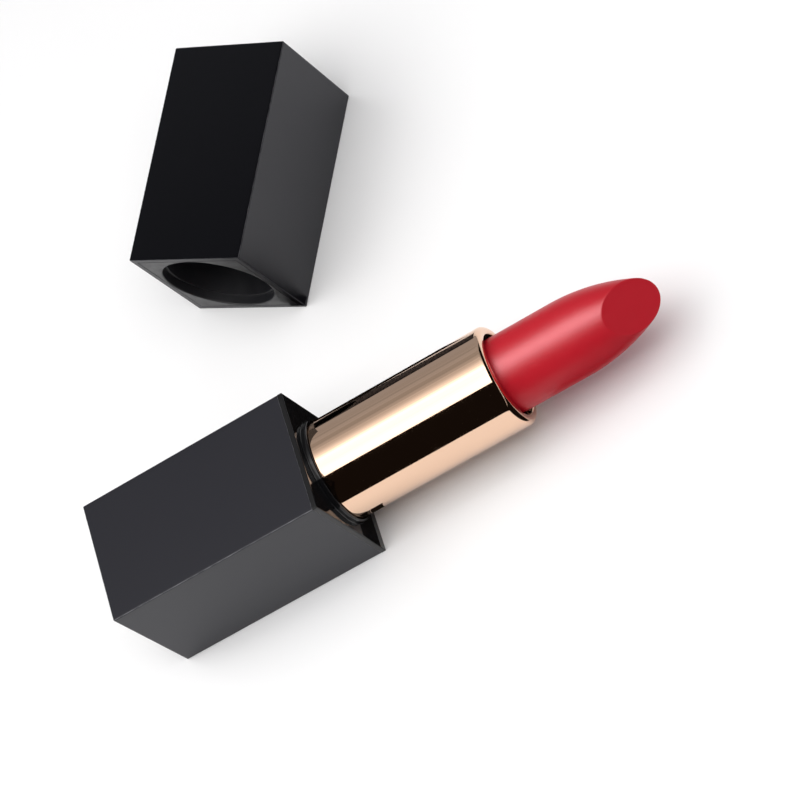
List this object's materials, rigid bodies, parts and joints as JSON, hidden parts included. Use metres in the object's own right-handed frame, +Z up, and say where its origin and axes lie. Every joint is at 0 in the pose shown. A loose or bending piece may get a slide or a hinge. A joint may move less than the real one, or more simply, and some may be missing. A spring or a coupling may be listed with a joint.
{
  "type": "lipstick case",
  "caption": "Open square-section lipstick case: satin black base, twist-up rose-gold tube, wound-out red stick with a slanted facet, and the matching black cap lying beside it.",
  "frame": {"origin": "middle of the flat side that the base lies on, on the surface it lies on", "axes": "+X along the case from its bottom end to the stick's tip, +Z up from the side it lies on, +Y towards the cap that lies beside it"},
  "size_m": [0.0935, 0.0879, 0.0206],
  "materials": {
    "satin_black": "satin black soft-touch lacquer on ABS",
    "gloss_black": "polished black ABS",
    "liner_black": "fine satin black polypropylene",
    "rose_gold": "mirror-polished, rose-gold anodised",
    "red_lipstick": "matte moulded wax stick, soft sheen",
    "cup_plastic": "moulded black plastic",
    "guide_plastic": "moulded black POM",
    "spiral_plastic": "moulded dark grey plastic",
    "drag_rubber": "matte",
    "steel": "plain zinc-plated",
    "label_paper": "blank, matte"
  },
  "bodies": {
    "base_assembly": {"base_casing": "satin_black", "shade_label": "label_paper", "base_weight": "steel", "base_insert": "gloss_black", "inner_body": "guide_plastic", "drag_ring": "drag_rubber"},
    "tube_assembly": {"outer_tube": "rose_gold", "spiral_sleeve": "spiral_plastic"},
    "stick_carrier": {"bullet_cup": "cup_plastic", "lipstick": "red_lipstick"},
    "cap_assembly": {"cap_shell": "satin_black", "cap_liner": "liner_black", "cap_weight": "steel"}
  },
  "joints": [
    {"name": "tube_twist", "type": "hinge", "parent": "base_assembly", "child": "tube_assembly", "pos_m": [0, 0, 0.0103], "axis": [1, 0, 0], "range_deg": [0, 540]},
    {"name": "stick_slide", "type": "slide", "parent": "base_assembly", "child": "stick_carrier", "axis": [1, 0, 0], "range_m": [-0.02705, 0]},
    {"name": "cap_pull_off", "type": "slide", "parent": "base_assembly", "child": "cap_assembly", "axis": [0.5, 0.866, 0], "range_m": [0, 0.032]}
  ],
  "couplings": [
    {"joint": "stick_slide", "follows": "tube_twist", "m_per_rad": -0.0028648}
  ]
}
